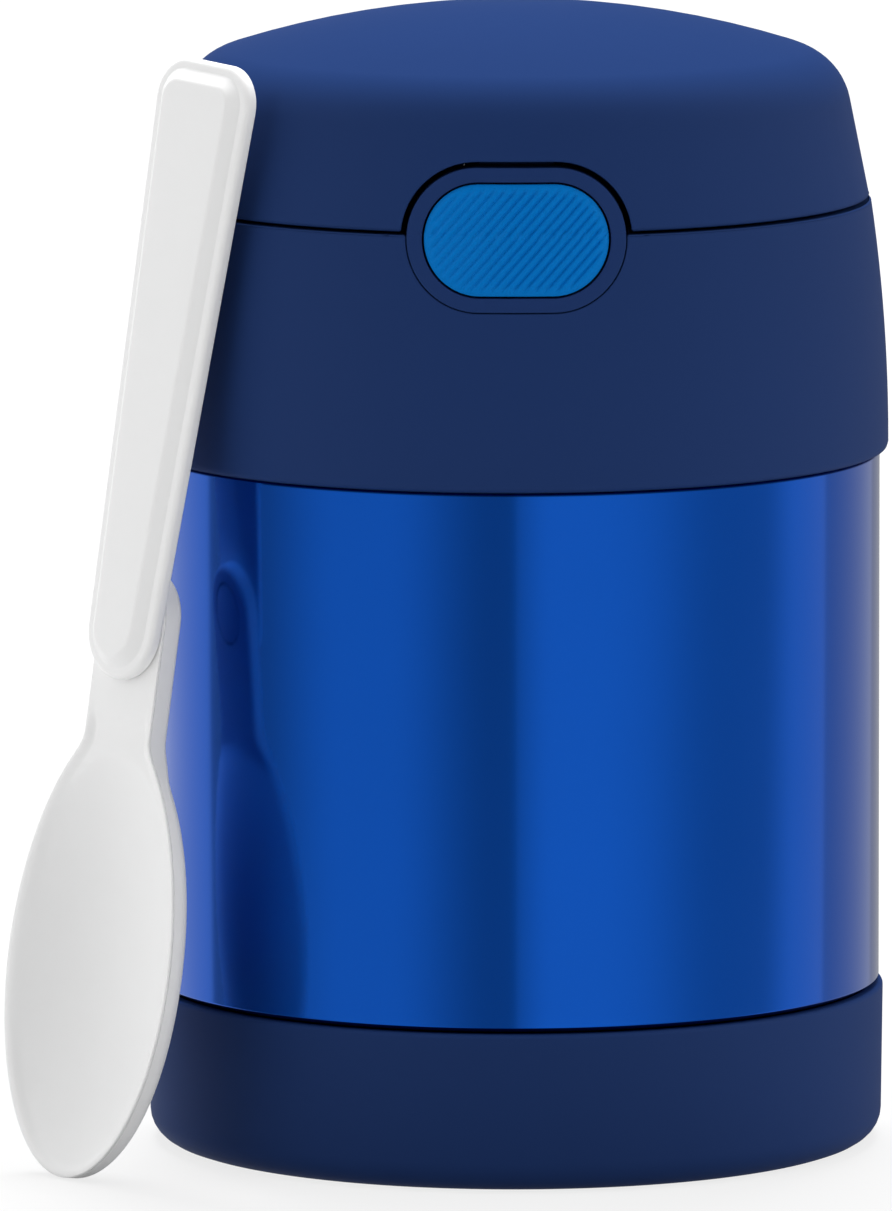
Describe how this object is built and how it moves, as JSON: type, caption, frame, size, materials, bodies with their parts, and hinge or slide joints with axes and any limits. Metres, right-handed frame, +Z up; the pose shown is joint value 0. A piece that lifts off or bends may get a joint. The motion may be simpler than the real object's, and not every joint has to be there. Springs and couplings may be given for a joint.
{
  "type": "insulated food jar",
  "caption": "Vacuum food jar with a navy screw lid, a push-button flip-up cover over a spoon well, and a loose folding spoon leaning beside it.",
  "frame": {"origin": "centre of the flat underside of the base cup, on the jar's own axis", "axes": "+Z up the jar's axis, +Y towards the cover's hinge, -Y the button's side, +X to the right of someone facing the button"},
  "size_m": [0.1054, 0.089, 0.1364],
  "materials": {
    "blue_steel": "glossy tinted lacquer over brushed steel",
    "steel": "electropolished",
    "braze": "matt",
    "soft_navy": "soft-touch, satin",
    "seal_rubber": "translucent white silicone",
    "navy_plastic": "satin moulded",
    "liner_plastic": "satin moulded",
    "foam": "closed-cell foam",
    "pin_steel": "drawn wire",
    "button_plastic": "ribbed, satin",
    "spoon_plastic": "satin moulded"
  },
  "bodies": {
    "jar": {"outer_shell": "blue_steel", "inner_vessel": "steel", "outer_bottom": "steel", "vacuum_seal": "braze", "base_cup": "soft_navy"},
    "seal": {"lip_seal": "seal_rubber"},
    "lid": {"lid_collar": "navy_plastic", "lid_body": "liner_plastic", "plug_foam": "foam", "plug_cap": "steel", "spoon_well": "navy_plastic", "button_bezel": "navy_plastic", "hinge_pin": "pin_steel", "hinge_spring": "pin_steel", "button_spring": "pin_steel"},
    "cover": {"cover_shell": "navy_plastic", "cover_liner": "navy_plastic", "cover_catch": "navy_plastic"},
    "button": {"push_button": "button_plastic", "latch_slide": "liner_plastic"},
    "bowl": {"spoon_bowl": "spoon_plastic"},
    "handle": {"spoon_handle": "spoon_plastic", "spoon_pivot_cap": "spoon_plastic"}
  },
  "joints": [
    {"name": "lid_turn", "type": "hinge", "parent": "seal", "child": "lid", "pos_m": [0, 0, 0.1], "axis": [0, 0, 1], "range_deg": [0, 360]},
    {"name": "lid_rise", "type": "slide", "parent": "jar", "child": "seal", "axis": [0, 0, 1], "range_m": [0, 0.0101]},
    {"name": "cover_open", "type": "hinge", "parent": "lid", "child": "cover", "pos_m": [0, 0.0396, 0.1146], "axis": [-1, 0, 0], "range_deg": [0, 100], "deforming": ["hinge_spring"]},
    {"name": "button_press", "type": "slide", "parent": "lid", "child": "button", "axis": [0, 1, 0], "range_m": [0, 0.0025], "stiffness_N_per_m": 300, "springref_m": -0.003, "deforming": ["button_spring"]},
    {"name": "spoon_lift", "type": "slide", "parent": "jar", "child": "bowl", "axis": [0, 0, 1], "range_m": [0, 0.00015]},
    {"name": "spoon_fold", "type": "hinge", "parent": "bowl", "child": "handle", "pos_m": [-0.04539, -0.0267, 0.06615], "axis": [-0.7566, -0.6349, 0.1564], "range_deg": [0, 182.4]}
  ],
  "couplings": [
    {"joint": "lid_rise", "follows": "lid_turn", "m_per_rad": 0.0015915}
  ]
}
